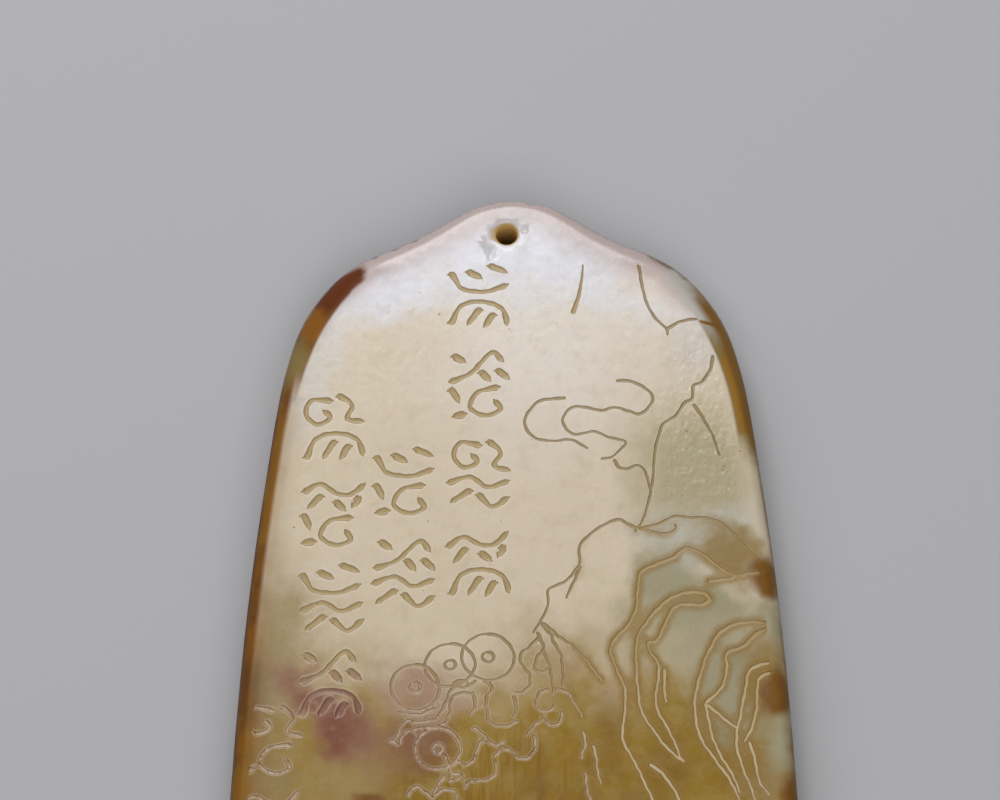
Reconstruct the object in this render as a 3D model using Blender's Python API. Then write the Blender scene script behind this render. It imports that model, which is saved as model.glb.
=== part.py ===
"""Jade pendant: one flat tablet of nephrite with a cord hole, lying on its back.

Metres, +Z up. X runs across the tablet and Y along it, with the cord hole at the +Y end.
The carved face looks up, and the origin is at the middle of the flat back.
"""
import math

import bmesh
import bpy
import numpy as np
from mathutils import Vector
from mathutils.geometry import delaunay_2d_cdt

# Driving dimensions of the tablet
LENGTH = 0.100
WIDTH = 0.0574
THICKNESS = 0.0080
CROWN_ACROSS = 0.0006
CROWN_ALONG = 0.0009
RIM_WIDTH = 0.0016
RIM_DEPTH = 0.0026
SHOULDER_BEVEL = 0.0008
BACK_RADIUS = 0.0012

# Cord hole, and the spall beside it
HOLE_DIAMETER = 0.0023
HOLE_BELOW_TIP = 0.0044
HOLE_OFF_AXIS = -0.0007
HOLE_WORN_EDGE = 0.00025
SPALL_WIDTH = 0.0013
SPALL_DEPTH = 0.00020

# Carving: strokes of the inscription's place, and lines of the landscape
MARK_HEIGHT = 0.0068
MARK_ASPECT = 0.96
MARK_LEAN = math.radians(4.0)
MARK_GROOVE_WIDTH = 0.0007
MARK_GROOVE_DEPTH = 0.00024
LINE_GROOVE_WIDTH = 0.0005
LINE_GROOVE_DEPTH = 0.00022
CARVING_MARGIN = 0.0006

# Facets: how finely round things and open ground are divided
RIM_SEGMENTS = 120
RIM_STEPS = 3
BACK_STEPS = 2
HOLE_SEGMENTS = 20
MARK_STEP = 0.0009
LINE_STEP = 0.0014
GROUND_STEP = 0.0036
CLOSEST_POINTS = 0.00024

# The shapes below are laid out on a grid of 57.4 squares across and 100 down from the tip,
# which stretches with the tablet: at the real size each square is one millimetre.
GRID_ACROSS = 57.4
GRID_DOWN = 100.0

# Half outline from the tip to the foot: squares out from the axis, squares down from the tip
HALF_OUTLINE = [
    (0.0, 0.0), (3.8, 0.7), (6.5, 2.1), (8.8, 3.5), (11.5, 4.8), (14.6, 6.1), (17.0, 7.5),
    (19.4, 9.8), (21.9, 13.7), (23.6, 19.1), (25.3, 29.9), (26.9, 43.2), (28.1, 58.8),
    (28.7, 74.0), (28.0, 84.5), (24.4, 93.2), (16.5, 98.3), (0.0, 100.0),
]
SHOULDER_DOWN = 12.0
SHOULDER_REACH = 7.0
SHOULDER_FLATNESS = 0.6

# Columns of marks: squares across, and squares down to the middle of each mark
MARK_COLUMNS = [
    (-3.4, [11.4, 21.0, 30.6, 40.2]),
    (-11.0, [31.4, 41.1]),
    (-18.3, [25.7, 34.7, 43.7, 52.7]),
    (-24.1, [58.3, 66.9]),
]

# Brush strokes of a mark's upper and lower half, on a square from -0.5 to 0.5, up the tablet
MARK_HEADS = [
    [[(-0.46, 0.36), (-0.30, 0.14), (0.06, 0.08), (0.44, 0.20)], [(-0.20, 0.40), (0.02, 0.30)],
     [(0.14, 0.50), (0.42, 0.40)]],
    [[(-0.46, 0.06), (-0.12, 0.20), (0.22, 0.50), (0.38, 0.34)], [(0.02, 0.18), (0.16, 0.04)],
     [(0.28, 0.20), (0.46, 0.06)], [(-0.40, 0.46), (-0.22, 0.36)]],
    [[(-0.02, 0.44), (-0.34, 0.46), (-0.44, 0.26), (-0.26, 0.08), (-0.06, 0.18), (-0.16, 0.30)],
     [(0.10, 0.50), (0.30, 0.34), (0.20, 0.14), (0.46, 0.08)]],
    [[(-0.48, 0.30), (-0.24, 0.44), (0.02, 0.30), (0.24, 0.30), (0.46, 0.48)],
     [(-0.22, 0.24), (-0.40, 0.04)], [(0.02, 0.16), (0.18, 0.04)], [(0.36, 0.24), (0.28, 0.10)]],
]
MARK_FEET = [
    [[(-0.46, -0.42), (-0.32, -0.16), (0.02, -0.08), (0.34, -0.20), (0.42, -0.46)],
     [(-0.02, -0.22), (-0.20, -0.46)], [(0.20, -0.30), (0.06, -0.50)]],
    [[(0.28, -0.06), (-0.06, -0.14), (-0.18, -0.36), (0.06, -0.50), (0.30, -0.40), (0.20, -0.26)],
     [(-0.46, -0.08), (-0.34, -0.28)], [(-0.26, -0.46), (-0.46, -0.50)]],
    [[(-0.48, -0.18), (-0.16, -0.06), (0.12, -0.20), (0.46, -0.08)],
     [(0.00, -0.34), (0.22, -0.50), (0.48, -0.34)], [(-0.14, -0.28), (-0.42, -0.48)]],
]

# Landscape lines: squares across and down
CLOUD = [
    [(5.2, 22.5), (2.7, 22.8), (1.2, 25.0), (2.5, 27.0), (5.9, 27.0), (7.5, 27.9)],
    [(10.7, 20.6), (13.0, 21.1), (14.3, 22.5), (12.9, 24.2), (9.8, 23.7), (6.7, 23.4), (5.0, 24.8),
     (6.0, 26.4), (9.0, 26.3), (11.4, 27.4), (9.1, 29.0)],
    [(10.3, 29.2), (11.3, 30.1), (12.9, 29.8), (13.9, 32.2)],
]
SKY_LINES = [
    [(7.0, 8.8), (7.0, 10.3), (6.2, 13.0)],
    [(12.9, 7.9), (13.6, 11.5), (15.8, 15.0)],
    [(15.9, 14.8), (18.5, 13.8), (21.0, 14.4)],
]
CLIFF = [
    [(20.5, 17.9), (20.0, 19.8), (18.4, 21.6), (15.3, 25.3), (14.3, 29.9), (13.5, 34.2), (12.4, 36.7)],
    [(18.3, 22.8), (20.0, 25.6), (21.0, 28.5)],
    [(12.6, 36.4), (10.7, 35.5), (8.2, 36.7), (6.6, 38.7), (6.5, 40.6), (3.6, 42.9), (3.2, 45.0),
     (2.0, 47.3)],
    [(12.9, 36.4), (16.4, 35.1), (19.9, 35.3), (22.8, 37.4), (25.9, 40.0)],
    [(12.9, 36.4), (15.2, 37.0), (16.5, 36.2)],
]
ROCK_FOLDS = [
    [(25.4, 41.0), (22.6, 41.3), (19.9, 39.6), (17.5, 38.4), (12.9, 41.0), (12.4, 44.6), (9.8, 48.9),
     (11.1, 53.2), (10.9, 58.0), (13.3, 63.6), (16.2, 70.0)],
    [(19.8, 43.7), (17.5, 43.0), (15.2, 44.1), (12.8, 47.0), (12.3, 50.9), (12.8, 55.1), (16.9, 60.5)],
    [(19.8, 44.1), (16.3, 44.7), (14.8, 47.0), (13.7, 48.5), (14.4, 51.4), (14.3, 55.8), (16.7, 60.3)],
    [(26.9, 47.0), (24.1, 46.1), (20.8, 47.2), (18.2, 54.1), (18.9, 58.6), (22.2, 64.0), (23.8, 70.5)],
    [(25.3, 46.9), (23.3, 48.5), (21.4, 49.5), (21.0, 52.5), (19.3, 54.5), (20.2, 59.1), (22.4, 63.6)],
    [(26.8, 50.1), (23.6, 51.2), (22.2, 58.6), (23.8, 63.6), (25.4, 68.0)],
    [(13.6, 60.9), (16.0, 63.8), (18.6, 69.6)],
]
ROCK_FEET = [
    [(2.7, 46.7), (3.7, 50.6), (3.8, 53.4)],
    [(3.8, 47.9), (5.0, 50.8), (5.0, 53.4)],
    [(3.8, 47.3), (6.4, 49.1), (8.7, 52.3)],
    [(2.4, 47.9), (0.8, 50.0), (1.6, 52.0), (0.4, 53.3)],
]

# Leaf discs of the tree: squares across, down, half width and half height, each with a small ring inside
LEAF_DISCS = [(-9.9, 53.0, 2.5, 2.4), (-6.3, 50.8, 2.5, 2.3), (-2.5, 49.9, 2.75, 2.5), (-7.6, 59.2, 2.2, 2.3)]
LEAF_RING_SHARE = 0.26
DISC_SIDES = 8
LEAF_RING_SIDES = 6

# The tree's twigs and crown, and the bank under it, are runs of scallops:
# first and last point, about how long a scallop is, and how far it bulges, all in squares
SCALLOPED_LINES = [
    ((-4.2, 52.9), (-10.6, 57.4), 4.0, -1.0),
    ((-4.2, 57.1), (1.6, 55.6), 2.0, 1.3),
    ((-6.4, 63.6), (0.6, 58.8), 2.8, 1.2),
    ((-13.5, 62.6), (-6.4, 66.8), 2.8, -1.1),
    ((-22.0, 80.5), (5.0, 74.0), 7.0, -1.5),
    ((-4.0, 84.5), (24.0, 77.5), 7.0, -1.8),
    ((-12.5, 90.0), (4.5, 90.6), 8.5, -0.9),
]

# The spall beside the hole, as a short broad scrape
SPALL_LINE = [(-2.9, 5.2), (-2.2, 7.1)]


def on_tablet(across, down):
    """Turn grid squares into metres: X out from the axis, Y down from the tip."""
    return np.array([across * WIDTH / GRID_ACROSS, LENGTH / 2 - down * LENGTH / GRID_DOWN])


def flowing(points, step, closed=False):
    """Points at even spacing along a smooth curve that passes through every given point."""
    knots = np.asarray(points, dtype=float)
    if closed:
        knots = np.vstack([knots[-1:], knots, knots[:2]])
    else:
        knots = np.vstack([2 * knots[0] - knots[1], knots, 2 * knots[-1] - knots[-2]])
    share = np.linspace(0.0, 1.0, 24, endpoint=False)[:, None]
    pieces = []
    for before, start, end, after in zip(knots, knots[1:], knots[2:], knots[3:]):
        # speeds at both ends allow for uneven spacing, so that the curve doesn't bulge at a close pair
        gaps = [math.sqrt(np.linalg.norm(b - a)) for a, b in ((before, start), (start, end), (end, after))]
        leave = (start - before) / gaps[0] - (end - before) / (gaps[0] + gaps[1]) + (end - start) / gaps[1]
        reach = (end - start) / gaps[1] - (after - start) / (gaps[1] + gaps[2]) + (after - end) / gaps[2]
        leave = leave * gaps[1]
        reach = reach * gaps[1]
        pieces.append(start + leave * share + (3 * (end - start) - 2 * leave - reach) * share ** 2
                      + (2 * (start - end) + leave + reach) * share ** 3)
    fine = np.vstack(pieces + [knots[-2][None]])
    run = np.concatenate([[0.0], np.cumsum(np.linalg.norm(np.diff(fine, axis=0), axis=1))])
    count = max(2, int(round(run[-1] / step)) + 1)
    even = np.linspace(0.0, run[-1], count)
    return np.column_stack([np.interp(even, run, fine[:, axis]) for axis in (0, 1)])


def tablet_outline():
    """The closed outline, run from the tip over the +X side, with its outward directions."""
    right = [on_tablet(out, down) for out, down in HALF_OUTLINE]
    left = [on_tablet(-out, down) for out, down in reversed(HALF_OUTLINE[1:-1])]
    rough = flowing(right + left, LENGTH / 2000, closed=True)
    run = np.concatenate([[0.0], np.cumsum(np.linalg.norm(np.diff(rough, axis=0), axis=1))])
    even = np.linspace(0.0, run[-1], RIM_SEGMENTS, endpoint=False)
    outline = np.column_stack([np.interp(even, run, rough[:, axis]) for axis in (0, 1)])
    along = np.roll(outline, -1, axis=0) - np.roll(outline, 1, axis=0)
    along /= np.linalg.norm(along, axis=1)[:, None]
    outward = np.column_stack([-along[:, 1], along[:, 0]])
    return outline, outward


def shoulder_share(outline):
    """How much of a shoulder each outline point is: a bell curve down the tablet."""
    down = (LENGTH / 2 - outline[:, 1]) * GRID_DOWN / LENGTH
    return np.exp(-((down - SHOULDER_DOWN) / SHOULDER_REACH) ** 2)[:, None]


def face_height(points):
    """Height of the crowned face before any carving."""
    across = points[:, 0] / (WIDTH / 2)
    along = points[:, 1] / (LENGTH / 2)
    return THICKNESS - CROWN_ACROSS * across ** 2 - CROWN_ALONG * along ** 4


def scallops(first, last, length, bulge):
    """A run of equal half-round bulges between two points, each of about the given length."""
    first, last = np.array(first), np.array(last)
    side = np.array([last[1] - first[1], first[0] - last[0]])
    distance = np.linalg.norm(side)
    side /= distance
    count = max(1, round(distance / length))
    turns = np.linspace(0.0, count, count * 4 + 1)
    return [first + (last - first) * turn / count + side * bulge * abs(math.sin(math.pi * turn))
            for turn in turns]


def ring(across, down, half_width, half_height, sides):
    """A closed oval on the grid, through as many points as sides and back to the first."""
    turns = np.linspace(0.0, 2 * math.pi, sides + 1)
    return [(across + half_width * math.sin(turn), down - half_height * math.cos(turn)) for turn in turns]


def mark_lines():
    """Strokes of every mark: each pairs a head with a foot, and leans a little in its own way."""
    lines = []
    number = 0
    for across, downs in MARK_COLUMNS:
        for down in downs:
            middle = on_tablet(across, down)
            lean = MARK_LEAN * math.sin(2.4 * number)
            turned = np.array([[math.cos(lean), math.sin(lean)], [-math.sin(lean), math.cos(lean)]])
            for stroke in MARK_HEADS[number % len(MARK_HEADS)] + MARK_FEET[number % len(MARK_FEET)]:
                points = np.array(stroke) * (MARK_HEIGHT * MARK_ASPECT, MARK_HEIGHT)
                lines.append(flowing(middle + points @ turned, MARK_STEP))
            number += 1
    return lines


def landscape_lines():
    """Lines of the cloud, the cliff, the folded rocks and the tree."""
    drawn = SKY_LINES + CLOUD + CLIFF + ROCK_FOLDS + ROCK_FEET
    drawn += [scallops(*run) for run in SCALLOPED_LINES]
    for across, down, half_width, half_height in LEAF_DISCS:
        drawn.append(ring(across, down, half_width, half_height, DISC_SIDES))
        share = LEAF_RING_SHARE
        drawn.append(ring(across, down, half_width * share, half_height * share, LEAF_RING_SIDES))
    return [flowing([on_tablet(*point) for point in line], LINE_STEP) for line in drawn]


def carving():
    """Every groove as a centre line with its half width and its depth."""
    spall = flowing([on_tablet(*point) for point in SPALL_LINE], MARK_STEP)
    grooves = [(spall, SPALL_WIDTH / 2, SPALL_DEPTH)]
    grooves += [(line, MARK_GROOVE_WIDTH / 2, MARK_GROOVE_DEPTH) for line in mark_lines()]
    grooves += [(line, LINE_GROOVE_WIDTH / 2, LINE_GROOVE_DEPTH) for line in landscape_lines()]
    return grooves


def distance_to_stretches(points, starts, ends):
    """Distance from every point to every straight stretch, as a table."""
    stretch = ends - starts
    size = np.maximum((stretch ** 2).sum(axis=1), 1e-18)
    offset = points[:, None, :] - starts[None]
    share = np.clip((offset * stretch[None]).sum(axis=2) / size[None], 0.0, 1.0)
    return np.linalg.norm(offset - share[..., None] * stretch[None], axis=2)


def carved_depth(points, grooves):
    """Depth of the round-bottomed grooves at each point; the deepest groove counts where two cross."""
    depth = np.zeros(len(points))
    for line, half_width, groove_depth in grooves:
        away = distance_to_stretches(points, line[:-1], line[1:]).min(axis=1) / half_width
        depth = np.maximum(depth, groove_depth * np.clip(1.0 - away ** 2, 0.0, 1.0))
    return depth


def inside(points, border):
    """Whether each point lies within a closed border, by counting the sides that a ray crosses."""
    after = np.roll(border, -1, axis=0)
    rises = (border[None, :, 1] > points[:, 1:2]) != (after[None, :, 1] > points[:, 1:2])
    drop = np.where(after[:, 1] == border[:, 1], 1.0, after[:, 1] - border[:, 1])
    crossing = border[:, 0] + (points[:, 1:2] - border[:, 1]) * (after[:, 0] - border[:, 0]) / drop
    return (rises & (points[:, 0:1] < crossing)).sum(axis=1) % 2 == 1


def on_open_face(points, border, hole_centre, hole_radius):
    """Whether each point keeps the carving's margin to the rim and to the hole."""
    to_rim = distance_to_stretches(points, border, np.roll(border, -1, axis=0)).min(axis=1)
    to_hole = np.linalg.norm(points - hole_centre, axis=1) - hole_radius
    return inside(points, border) & (to_rim > CARVING_MARGIN) & (to_hole > CARVING_MARGIN)


def groove_points(grooves):
    """Points down the middle of every groove, then points along both of its edges."""
    middles = []
    edges = []
    for line, half_width, _ in grooves:
        along = np.gradient(line, axis=0)
        along /= np.linalg.norm(along, axis=1)[:, None]
        side = np.column_stack([-along[:, 1], along[:, 0]]) * half_width
        middles.append(line)
        edges += [line + side, line - side]
        edges += [line[:1] - along[:1] * half_width, line[-1:] + along[-1:] * half_width]
    return np.vstack(middles), np.vstack(edges)


def ground_points():
    """An even field of points over the whole tablet, in staggered rows."""
    rows = np.arange(-LENGTH / 2, LENGTH / 2, GROUND_STEP * math.sqrt(3) / 2)
    columns = np.arange(-WIDTH / 2, WIDTH / 2, GROUND_STEP)
    return np.array([(x + (row % 2) * GROUND_STEP / 2, y) for row, y in enumerate(rows) for x in columns])


def spread_out(groups, fixed):
    """Keep points in order of importance, leaving out any that comes too close to one already kept."""
    cell = CLOSEST_POINTS
    kept = []
    cells = {}

    def crowded(point, closest):
        column, row = int(point[0] // cell), int(point[1] // cell)
        reach = int(math.ceil(closest / cell))
        for near_column in range(column - reach, column + reach + 1):
            for near_row in range(row - reach, row + reach + 1):
                for other in cells.get((near_column, near_row), ()):
                    if math.dist(point, other) < closest:
                        return True
        return False

    for point in fixed:
        cells.setdefault((int(point[0] // cell), int(point[1] // cell)), []).append(tuple(point))
    for points, closest in groups:
        for point in points:
            if not crowded(point, closest):
                kept.append(tuple(point))
                cells.setdefault((int(point[0] // cell), int(point[1] // cell)), []).append(tuple(point))
    return np.array(kept)


def fill_between(border, hole, within):
    """Triangles over the ground between the border and the hole, through the points within.

    The corners are numbered in the order border, hole, within.
    """
    millimetres = 1000.0
    corners = np.vstack([border, hole, within])
    rings = []
    for first, count in ((0, len(border)), (len(border), len(hole))):
        rings += [(first + side, first + (side + 1) % count) for side in range(count)]
    flat = [Vector((float(x), float(y))) for x, y in corners * millimetres]
    result = delaunay_2d_cdt(flat, rings, [], 0, 1e-4)
    number = [sources[0] for sources in result[3]]
    triangles = np.array([[number[corner] for corner in triangle] for triangle in result[2]])
    centres = corners[triangles].mean(axis=1)
    kept = triangles[inside(centres, border) & ~inside(centres, hole)]
    one, two, three = corners[kept[:, 0]], corners[kept[:, 1]], corners[kept[:, 2]]
    ahead, beside = two - one, three - one
    turn = ahead[:, 0] * beside[:, 1] - ahead[:, 1] * beside[:, 0]
    return np.where((turn > 0)[:, None], kept, kept[:, ::-1])


def rim_rings(outline, outward):
    """Rings from the edge of the face, round the rim and the girth, to the edge of the flat back.

    The rim is a quarter of an oval, broader and part way to a flat bevel at the shoulders.
    """
    shoulder = shoulder_share(outline)
    width = RIM_WIDTH + SHOULDER_BEVEL * shoulder
    flatness = SHOULDER_FLATNESS * shoulder[:, 0]
    edge_height = face_height(outline - outward * width)
    rings = []
    for step in range(RIM_STEPS + 1):
        share = step / RIM_STEPS
        turn = 0.5 * math.pi * share
        inset = (1.0 - math.sin(turn)) * (1.0 - flatness) + (1.0 - share) * flatness
        drop = (1.0 - math.cos(turn)) * (1.0 - flatness) + share * flatness
        flat = outline - outward * width * inset[:, None]
        rings.append(np.column_stack([flat, edge_height - RIM_DEPTH * drop]))
    for step in range(BACK_STEPS + 1):
        turn = 0.5 * math.pi * step / BACK_STEPS
        flat = outline - outward * BACK_RADIUS * (1.0 - math.cos(turn))
        rings.append(np.column_stack([flat, np.full(len(flat), BACK_RADIUS * (1.0 - math.sin(turn)))]))
    return rings


def bore_rings(centre):
    """Rings down the cord hole, with a worn edge at both of its mouths."""
    turns = np.linspace(0.0, 2 * math.pi, HOLE_SEGMENTS, endpoint=False)
    circle = np.column_stack([np.sin(turns), np.cos(turns)])
    mouth = centre + circle * (HOLE_DIAMETER / 2 + HOLE_WORN_EDGE)
    wall = centre + circle * HOLE_DIAMETER / 2
    top = face_height(mouth)
    return [
        np.column_stack([mouth, top]),
        np.column_stack([wall, top - HOLE_WORN_EDGE]),
        np.column_stack([wall, np.full(HOLE_SEGMENTS, HOLE_WORN_EDGE)]),
        np.column_stack([mouth, np.zeros(HOLE_SEGMENTS)]),
    ]


def band(first_ring, second_ring, count):
    """Sides of the band between two rings, given the number of each ring's first corner."""
    return [(first_ring + side, first_ring + (side + 1) % count, second_ring + (side + 1) % count,
             second_ring + side) for side in range(count)]


def jade():
    """Pale grey-green nephrite with a polish."""
    material = bpy.data.materials.new("jade")
    material.use_nodes = True
    shader = material.node_tree.nodes["Principled BSDF"]
    shader.inputs["Base Color"].default_value = (0.56, 0.47, 0.27, 1.0)
    shader.inputs["Roughness"].default_value = 0.28
    shader.inputs["Metallic"].default_value = 0.0
    return material


def jade_pendant():
    """Build the tablet: carved face, rounded rim, flat back and the bore through both."""
    outline, outward = tablet_outline()
    rim = rim_rings(outline, outward)
    hole_centre = np.array([HOLE_OFF_AXIS, LENGTH / 2 - HOLE_BELOW_TIP])
    bore = bore_rings(hole_centre)
    face_border, face_hole = rim[0][:, :2], bore[0][:, :2]
    back_border, back_hole = rim[-1][:, :2], bore[-1][:, :2]

    grooves = carving()
    middles, edges = groove_points(grooves)
    hole_radius = HOLE_DIAMETER / 2 + HOLE_WORN_EDGE
    open_points = []
    groups = ((middles, CLOSEST_POINTS), (edges, CLOSEST_POINTS), (ground_points(), GROUND_STEP / 2))
    for points, closest in groups:
        fits = on_open_face(points, face_border, hole_centre, hole_radius)
        open_points.append((points[fits], closest))
    within = spread_out(open_points, np.vstack([face_border, face_hole]))
    within_height = face_height(within) - carved_depth(within, grooves)

    corners = np.vstack(rim + bore + [np.column_stack([within, within_height])])
    first_bore = len(rim) * RIM_SEGMENTS
    first_within = first_bore + len(bore) * HOLE_SEGMENTS
    last_rim = (len(rim) - 1) * RIM_SEGMENTS
    last_bore = first_bore + (len(bore) - 1) * HOLE_SEGMENTS

    faces = []
    for step in range(len(rim) - 1):
        faces += band(step * RIM_SEGMENTS, (step + 1) * RIM_SEGMENTS, RIM_SEGMENTS)
    for step in range(len(bore) - 1):
        upper_ring = first_bore + step * HOLE_SEGMENTS
        faces += band(upper_ring + HOLE_SEGMENTS, upper_ring, HOLE_SEGMENTS)
    face_number = np.concatenate([np.arange(RIM_SEGMENTS), first_bore + np.arange(HOLE_SEGMENTS),
                                  first_within + np.arange(len(within))])
    faces += face_number[fill_between(face_border, face_hole, within)].tolist()
    back_number = np.concatenate([last_rim + np.arange(RIM_SEGMENTS), last_bore + np.arange(HOLE_SEGMENTS)])
    faces += back_number[fill_between(back_border, back_hole, np.empty((0, 2)))[:, ::-1]].tolist()

    mesh = bpy.data.meshes.new("jade_pendant")
    mesh.from_pydata(corners.tolist(), [], faces)
    solid = bmesh.new()
    solid.from_mesh(mesh)
    bmesh.ops.triangulate(solid, faces=solid.faces[:])
    bmesh.ops.recalc_face_normals(solid, faces=solid.faces[:])
    solid.to_mesh(mesh)
    solid.free()
    mesh.shade_smooth()
    mesh.set_sharp_from_angle(angle=math.radians(30.0))
    mesh.materials.append(jade())
    pendant = bpy.data.objects.new("jade_pendant", mesh)
    bpy.context.scene.collection.objects.link(pendant)
    return pendant


for old in list(bpy.data.objects):
    bpy.data.objects.remove(old, do_unlink=True)
jade_pendant()
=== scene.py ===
"""The finish of a carved jade pendant: one tablet of nephrite, lying on its back, carved face up.

Everything is in metres in the frame's own axes: X across the tablet, Y along it with the cord hole at +Y.
The carving is laid out on a grid whose squares are one millimetre: squares out from the axis, squares down
from the tip.
"""
import math

import bpy
import numpy as np
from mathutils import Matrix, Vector
from mathutils.geometry import delaunay_2d_cdt


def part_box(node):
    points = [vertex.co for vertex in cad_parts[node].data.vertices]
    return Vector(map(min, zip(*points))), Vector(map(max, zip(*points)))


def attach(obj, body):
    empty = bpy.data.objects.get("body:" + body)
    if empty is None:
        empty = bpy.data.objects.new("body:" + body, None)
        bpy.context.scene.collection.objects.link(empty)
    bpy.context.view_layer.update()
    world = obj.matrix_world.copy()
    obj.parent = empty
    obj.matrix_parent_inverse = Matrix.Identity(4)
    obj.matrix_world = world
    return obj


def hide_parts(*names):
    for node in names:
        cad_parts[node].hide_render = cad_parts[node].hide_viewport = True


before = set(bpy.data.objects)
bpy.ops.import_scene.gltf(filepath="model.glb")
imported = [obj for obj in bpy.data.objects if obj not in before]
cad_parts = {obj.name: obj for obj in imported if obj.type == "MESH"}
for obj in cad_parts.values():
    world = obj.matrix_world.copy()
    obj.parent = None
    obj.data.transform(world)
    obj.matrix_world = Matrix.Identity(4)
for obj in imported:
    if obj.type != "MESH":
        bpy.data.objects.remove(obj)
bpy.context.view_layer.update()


# The tablet's form
# One flat slab of nephrite, sawn from a pebble and ground by hand: an ogee top round the cord hole, long
# bulging sides, a broad round foot. The face is slightly crowned, the rim rounded, the back ground flat.
SQUARES_ACROSS = 57.4
SQUARES_DOWN = 100.0
blank_low, blank_high = (np.array(corner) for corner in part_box("jade_pendant"))
blank_width, blank_length, blank_thickness = blank_high - blank_low
tip_y = blank_high[1]
square_across = blank_width / SQUARES_ACROSS
square_down = blank_length / SQUARES_DOWN

HALF_OUTLINE = [
    (0.0, 0.0), (3.8, 0.7), (6.5, 2.1), (8.8, 3.5), (11.5, 4.8), (14.6, 6.1), (17.0, 7.5),
    (19.4, 9.8), (21.9, 13.7), (23.6, 19.1), (25.3, 29.9), (26.9, 43.2), (28.1, 58.8),
    (28.7, 74.0), (28.0, 84.5), (24.4, 93.2), (16.5, 98.3), (0.0, 100.0),
]
CROWN_ACROSS = 0.0006
CROWN_ALONG = 0.0009
HAND_WAVES = 0.00004
RIM_WIDTH = 0.0016
RIM_DEPTH = 0.0026
SHOULDER_BEVEL = 0.0008
SHOULDER_DOWN = 12.0
SHOULDER_REACH = 7.0
SHOULDER_FLATNESS = 0.6
BACK_RADIUS = 0.0012
OUTLINE_SIDES = 640
OUTLINE_STEPS_DOWN = 2000
CURVE_STEPS = 32


def on_tablet(points):
    """Grid squares to metres: X out from the axis, Y down from the tip."""
    points = np.asarray(points, dtype=float)
    return np.stack([points[..., 0] * square_across, tip_y - points[..., 1] * square_down], axis=-1)


def even_steps(line, step=None, count=None):
    """The same line with its points at even distances along it, joined by straight stretches."""
    run = np.concatenate([[0.0], np.cumsum(np.linalg.norm(np.diff(line, axis=0), axis=1))])
    if count is None:
        count = max(4, int(round(run[-1] / step)) + 1)
    even = np.linspace(0.0, run[-1], count)
    return np.column_stack([np.interp(even, run, line[:, axis]) for axis in (0, 1)])


def flowing(points, step, closed=False):
    """A smooth curve through every point: cubic stretches whose end slopes weigh both neighbours by the
    square root of their distance, then divided evenly."""
    knots = np.asarray(points, dtype=float)
    if closed:
        knots = np.vstack([knots[-1:], knots, knots[:2]])
    else:
        knots = np.vstack([2 * knots[0] - knots[1], knots, 2 * knots[-1] - knots[-2]])
    before, start, end, after = knots[:-3], knots[1:-2], knots[2:-1], knots[3:]
    gap = np.sqrt(np.linalg.norm(np.diff(knots, axis=0), axis=1))[:, None]
    gap_before, gap_here, gap_after = gap[:-2], gap[1:-1], gap[2:]
    leave = ((start - before) / gap_before - (end - before) / (gap_before + gap_here)
             + (end - start) / gap_here) * gap_here
    reach = ((end - start) / gap_here - (after - start) / (gap_here + gap_after)
             + (after - end) / gap_after) * gap_here
    share = np.linspace(0.0, 1.0, CURVE_STEPS, endpoint=False)[None, :, None]
    start, end, leave, reach = (part[:, None, :] for part in (start, end, leave, reach))
    curve = (start + leave * share + (3 * (end - start) - 2 * leave - reach) * share ** 2
             + (2 * (start - end) + leave + reach) * share ** 3)
    return even_steps(np.vstack([curve.reshape(-1, 2), knots[-2][None]]), step)


def bell(value):
    """One at nought and falling away on both sides: e to the minus square."""
    return np.exp(-value ** 2)


def face_height(points):
    """Height of the polished face: the thickness, less a square of the way across, a fourth power of the
    way along, and slow waves left by grinding by hand."""
    across = points[:, 0] / (blank_width / 2)
    along = points[:, 1] / (blank_length / 2)
    waves = np.sin(7.0 * across + 1.3 * np.sin(9.0 * along)) * np.sin(11.0 * along + 2.1 * across + 0.7)
    crown = CROWN_ACROSS * across ** 2 + CROWN_ALONG * along ** 4
    return blank_low[2] + blank_thickness - crown - HAND_WAVES * (1.0 + waves) / 2


def shoulder_share(points):
    """How much of a shoulder there is at each point: a bell round the shoulder's way down from the tip."""
    return bell(((tip_y - points[:, 1]) / square_down - SHOULDER_DOWN) / SHOULDER_REACH)


def rim_reach(points):
    """How far the rim reaches in from the girth: its width, and the bevel's at the shoulders."""
    return RIM_WIDTH + SHOULDER_BEVEL * shoulder_share(points)


half = np.array(HALF_OUTLINE)
both_halves = np.vstack([half, half[-2:0:-1] * (-1, 1)])
rough_outline = flowing(on_tablet(both_halves), blank_length / OUTLINE_STEPS_DOWN, closed=True)
outline = even_steps(rough_outline, count=OUTLINE_SIDES + 1)[:-1]
along_outline = np.roll(outline, -1, axis=0) - np.roll(outline, 1, axis=0)
along_outline /= np.linalg.norm(along_outline, axis=1)[:, None]
outward = np.column_stack([-along_outline[:, 1], along_outline[:, 0]])
rim_width = rim_reach(outline)


# The carving
# Cut with a small wheel and left matt, then rubbed with ochre: broad flat-floored brush strokes in columns,
# and a landscape drawn in thin lines, with a cloud, cliffs, folded rocks and a tree.
MARK_HEIGHT = 6.8
MARK_ASPECT = 0.96
MARK_LEAN = math.radians(4.0)
MARK_HALF_WIDTH = 0.00032
MARK_DEPTH = 0.00012
WORN_BELOW = 56.0
WORN_HALF_WIDTH = 0.00023
BRUSH_LANDING = 0.05
BRUSH_TIP = 0.00035
BRUSH_PRESS = 0.0006
LANDING_SPREAD = 0.0005
LIFTING_SPREAD = 0.0006
LINE_HALF_WIDTH = 0.00017
LINE_DEPTH = 0.00010
ROCK_HALF_WIDTH = 0.00020
SMALL_TREMBLE = 0.00003
ROCK_TREMBLE = 0.00005
JAGGED_TREMBLE = 0.00010
FLOOR_SHARE = 0.60
LIP_SHARE = 1.15
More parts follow.
